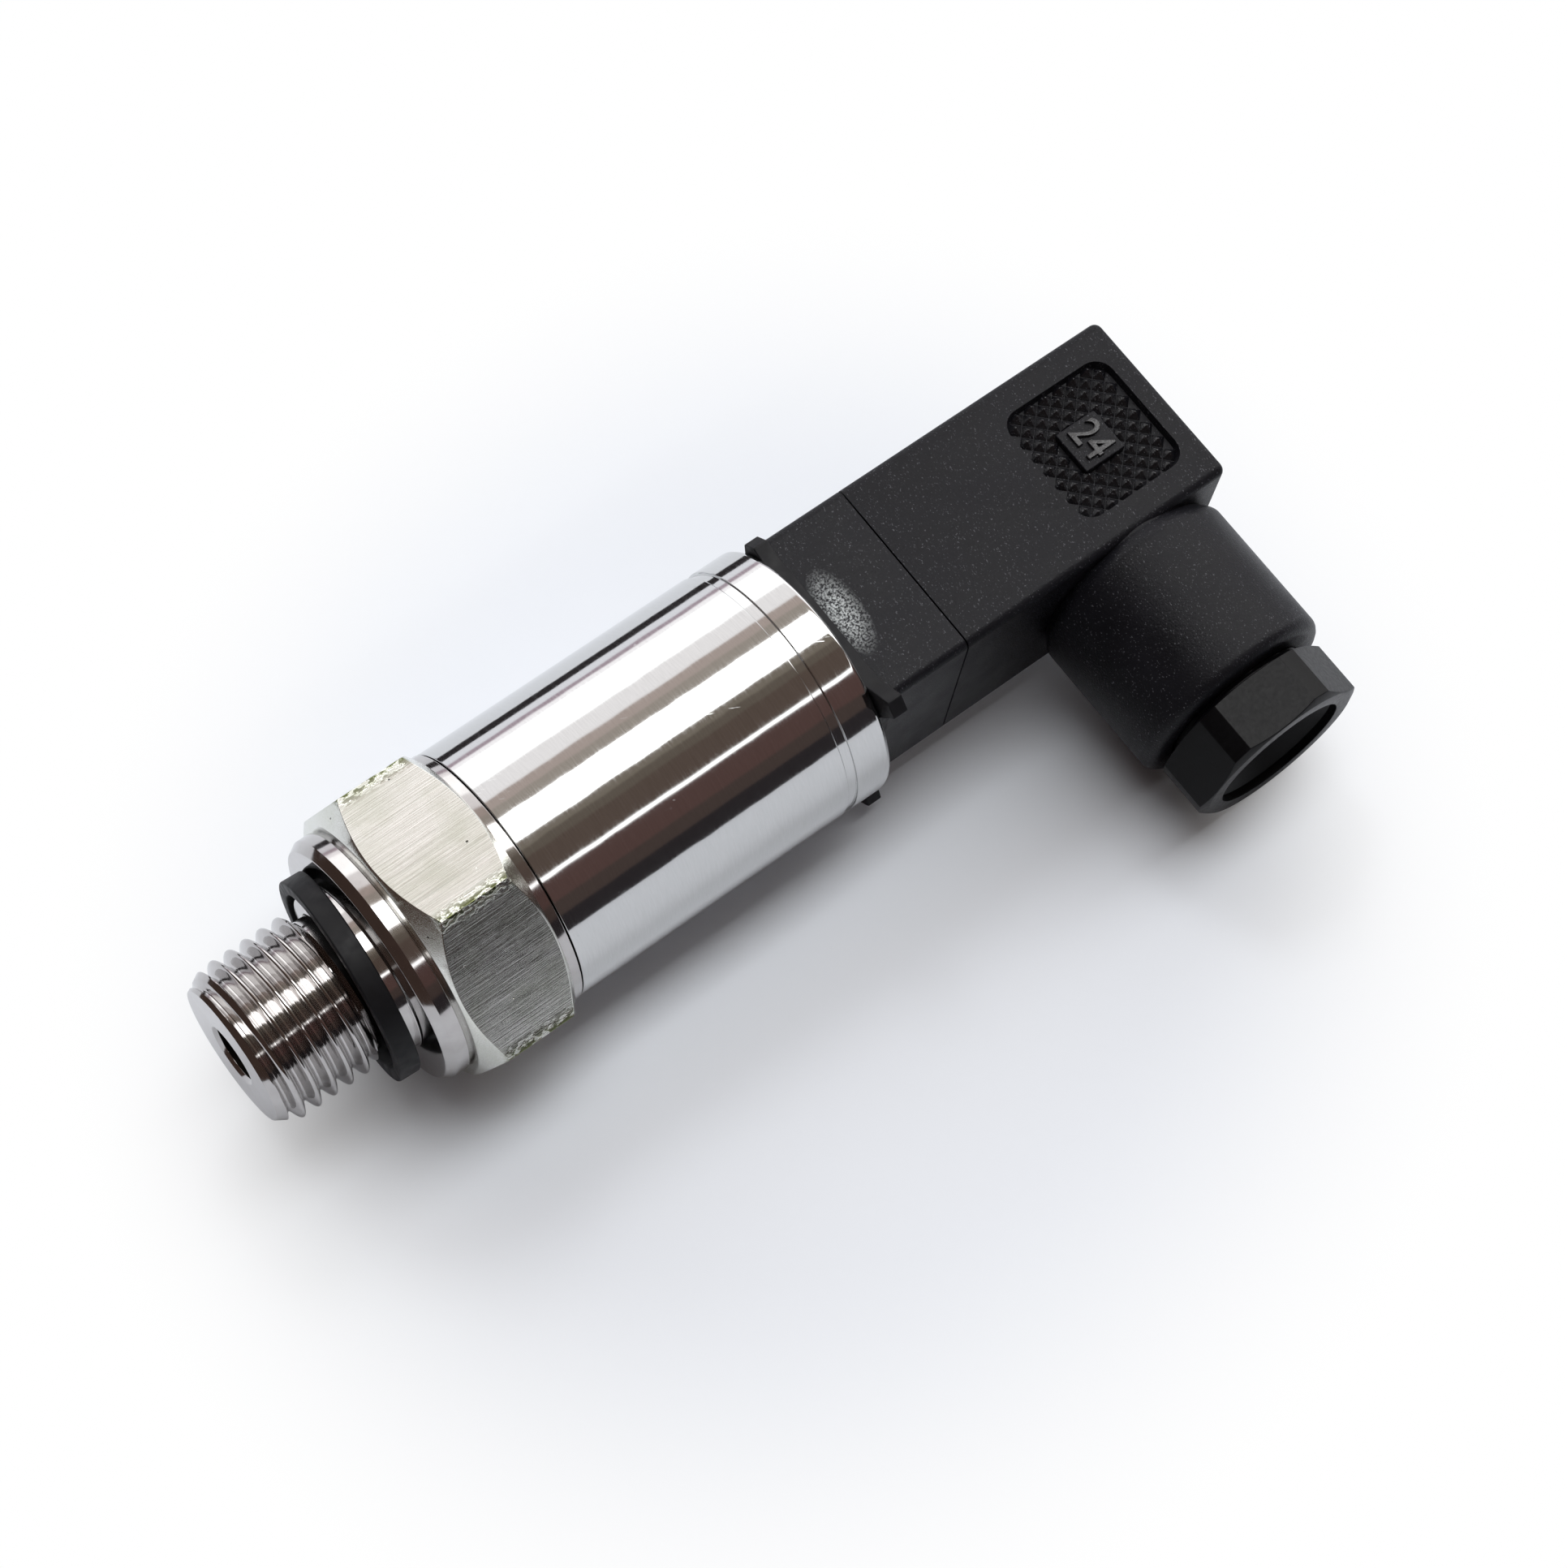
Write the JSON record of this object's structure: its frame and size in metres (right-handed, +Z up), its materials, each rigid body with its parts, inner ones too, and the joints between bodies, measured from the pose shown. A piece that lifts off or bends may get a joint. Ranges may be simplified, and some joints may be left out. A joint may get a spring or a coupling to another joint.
{
  "type": "pressure transmitter",
  "caption": "Cylindrical stainless pressure transmitter with a hexagon and a threaded pressure port at one end and a square angled plug with a cable gland at the other.",
  "frame": {"origin": "middle of the overall box, on the flat surface that the transmitter lies on", "axes": "+X along the body from the pressure port to the plug, which rises 1.00 degrees that way; +Z up; the cable gland points towards -Y and slightly down"},
  "size_m": [0.0928, 0.0432, 0.0242],
  "materials": {
    "turned_steel": "turned and milled stainless steel",
    "polished_steel": "polished stainless steel",
    "black_rubber": "matte nitrile rubber",
    "circuit_board": "glass-fibre board",
    "pale_plastic": "plain",
    "brass": "machined",
    "plated_contact": "tin plated",
    "zinc_steel": "zinc plated",
    "black_plastic": "glass-filled, finely textured"
  },
  "bodies": {
    "transmitter": {"process_connection": "turned_steel", "seal_ring": "black_rubber", "capsule_seal": "black_rubber", "sensor_capsule": "turned_steel", "capsule_header": "brass", "clamp_ring": "turned_steel", "signal_board": "circuit_board", "board_spacer": "pale_plastic", "ribbon_lead": "pale_plastic", "connector_board": "circuit_board", "housing_sleeve": "polished_steel", "end_ring": "polished_steel", "base_seal": "black_rubber", "pin_base": "black_plastic", "thread_insert": "brass", "pin_1": "plated_contact", "pin_2": "plated_contact", "pin_3": "plated_contact", "pin_earth": "plated_contact", "gasket": "black_rubber"},
    "plug": {"contact_insert": "black_plastic", "socket_1": "brass", "socket_2": "brass", "socket_3": "brass", "socket_earth": "brass", "terminal_screw_1": "zinc_steel", "terminal_screw_2": "zinc_steel", "terminal_screw_3": "zinc_steel", "terminal_screw_earth": "zinc_steel", "plug_housing": "black_plastic", "screw_seal": "black_rubber", "gland_grommet": "black_rubber"},
    "fixing_screw": {"fixing_screw": "zinc_steel"},
    "slip_washer": {"slip_washer": "pale_plastic"},
    "gland_nut": {"gland_nut": "black_plastic"}
  },
  "joints": [
    {"name": "plug_slide", "type": "slide", "parent": "transmitter", "child": "plug", "axis": [0.9998, 0, 0.0175], "range_m": [0, 0.014]},
    {"name": "fixing_screw_turn", "type": "hinge", "parent": "plug", "child": "fixing_screw", "pos_m": [0.04364, 0.00778, 0.01332], "axis": [0.9998, 0, 0.0175], "continuous": true},
    {"name": "gland_press", "type": "slide", "parent": "plug", "child": "slip_washer", "axis": [0.0034, -0.9812, -0.1932], "range_m": [0, 0.0045]},
    {"name": "gland_nut_turn", "type": "hinge", "parent": "slip_washer", "child": "gland_nut", "pos_m": [0.03711, -0.01184, 0.00935], "axis": [0.0034, -0.9812, -0.1932], "range_deg": [0, 1080]}
  ],
  "couplings": [
    {"joint": "gland_nut_turn", "follows": "gland_press", "rad_per_m": 4188.8}
  ]
}
